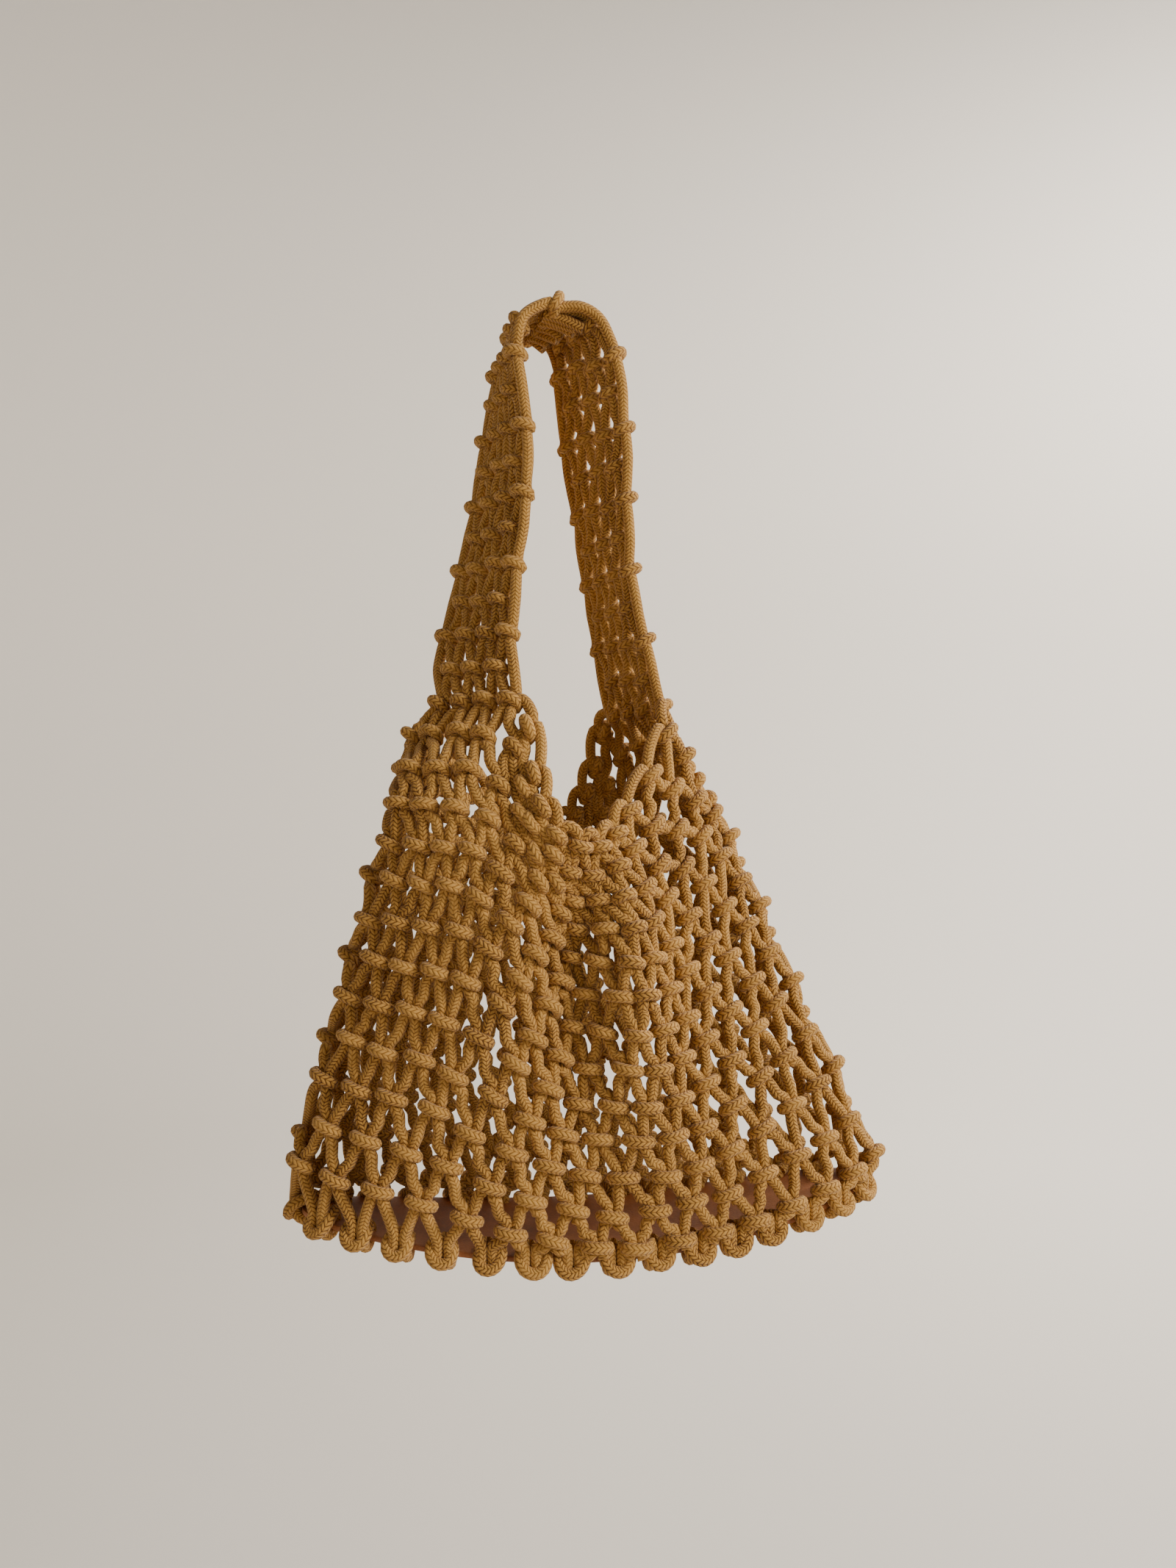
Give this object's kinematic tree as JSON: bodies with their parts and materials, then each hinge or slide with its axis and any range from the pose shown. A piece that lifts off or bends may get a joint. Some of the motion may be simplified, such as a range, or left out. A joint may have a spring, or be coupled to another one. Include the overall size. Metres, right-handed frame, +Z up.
{
  "type": "knotted cord shoulder bag",
  "caption": "Shoulder bag knotted from tan cotton cord, with an open diamond net body, a V-shaped mouth, a flat knotted strap and an oval brown leather base, hanging by its strap.",
  "frame": {"origin": "hang point: underside of the strap where it crosses the top of its arch", "axes": "+Z up, +X along the oval base's long axis from the bag's left end to its right end, +Y from the bag's front to its back"},
  "size_m": [0.3356, 0.1424, 0.5284],
  "materials": {
    "cotton_cord": "braided, matte",
    "brown_leather": "smooth, slightly worn"
  },
  "bodies": {
    "root": {"body_net": "cotton_cord", "left_strap": "cotton_cord", "right_strap": "cotton_cord", "leather_base": "brown_leather"}
  },
  "joints": []
}
